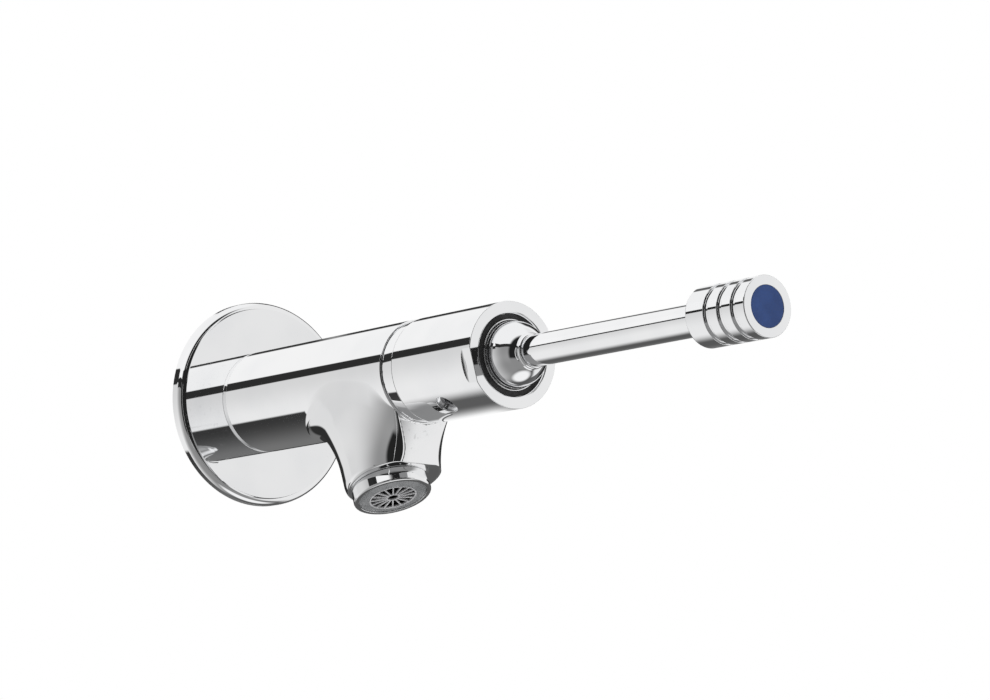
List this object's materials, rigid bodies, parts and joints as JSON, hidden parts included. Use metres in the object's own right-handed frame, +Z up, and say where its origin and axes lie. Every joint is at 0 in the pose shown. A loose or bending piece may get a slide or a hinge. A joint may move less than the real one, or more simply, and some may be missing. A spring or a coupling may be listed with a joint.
{
  "type": "push timed tap",
  "caption": "Wall-mounted self-closing tap with a short spout, an aerator and a ball-jointed lever that is pushed any way to start a timed flow.",
  "frame": {"origin": "on the tap's axis, in the plane of the wall at the back of the wall plate", "axes": "+Y along the inlet into the wall, the lever out along -Y, +Z up, the spout down"},
  "size_m": [0.0708, 0.2829, 0.0795],
  "materials": {
    "chrome": "mirror-polished chrome plate on brass",
    "brass": "turned brass",
    "stainless_steel": "drawn and pressed stainless steel",
    "rubber": "moulded black rubber",
    "white_plastic": "moulded acetal",
    "grey_plastic": "fine-grained moulded plastic",
    "blue_plastic": "smooth moulded plastic"
  },
  "bodies": {
    "tap": {"wall_plate": "chrome", "plate_seal": "rubber", "inlet_nipple": "brass", "nipple_washer": "rubber", "strainer_frame": "white_plastic", "strainer_mesh": "stainless_steel", "tap_body": "chrome", "seat_ring": "brass", "seat_o_ring": "rubber", "cartridge_shell": "white_plastic", "cartridge_o_rings": "rubber", "return_spring": "stainless_steel", "cartridge_cap": "brass", "plunger_o_ring": "rubber", "plunger_spring": "stainless_steel", "collar_ring": "chrome", "head_sleeve": "chrome", "sleeve_grub_screw": "stainless_steel", "socket_ring": "chrome", "ball_wiper_ring": "rubber", "aerator_housing": "chrome", "aerator_seal": "rubber", "aerator_cup": "grey_plastic", "aerator_grid": "grey_plastic", "aerator_screens": "stainless_steel", "flow_regulator": "white_plastic"},
    "swivel": {"ball_liner": "white_plastic"},
    "lever": {"lever_ball": "chrome", "thrust_dish": "stainless_steel", "lever_rod": "chrome", "lever_knob": "chrome", "indicator_disc": "blue_plastic"},
    "plunger": {"plunger": "stainless_steel", "push_cup": "white_plastic"},
    "piston": {"piston": "white_plastic", "piston_lip_seal": "rubber", "seat_washer": "rubber", "washer_nut": "brass"}
  },
  "joints": [
    {"name": "lever_spin", "type": "hinge", "parent": "tap", "child": "swivel", "pos_m": [0, -0.1442, 0], "axis": [0, 1, 0], "continuous": true},
    {"name": "lever_tilt", "type": "hinge", "parent": "swivel", "child": "lever", "pos_m": [0, -0.1442, 0], "axis": [1, 0, 0], "range_deg": [0, 14], "stiffness_Nm_per_rad": 1, "springref_deg": -20.05},
    {"name": "plunger_press", "type": "slide", "parent": "tap", "child": "plunger", "axis": [0, 1, 0], "range_m": [0, 0.0019], "deforming": ["plunger_spring"]},
    {"name": "piston_slide", "type": "slide", "parent": "tap", "child": "piston", "axis": [0, 1, 0], "range_m": [0, 0.0019], "deforming": ["return_spring"]}
  ],
  "couplings": [
    {"joint": "plunger_press", "follows": "lever_tilt", "m_per_rad": 0.007612},
    {"joint": "piston_slide", "follows": "lever_tilt", "m_per_rad": 0.007612}
  ]
}
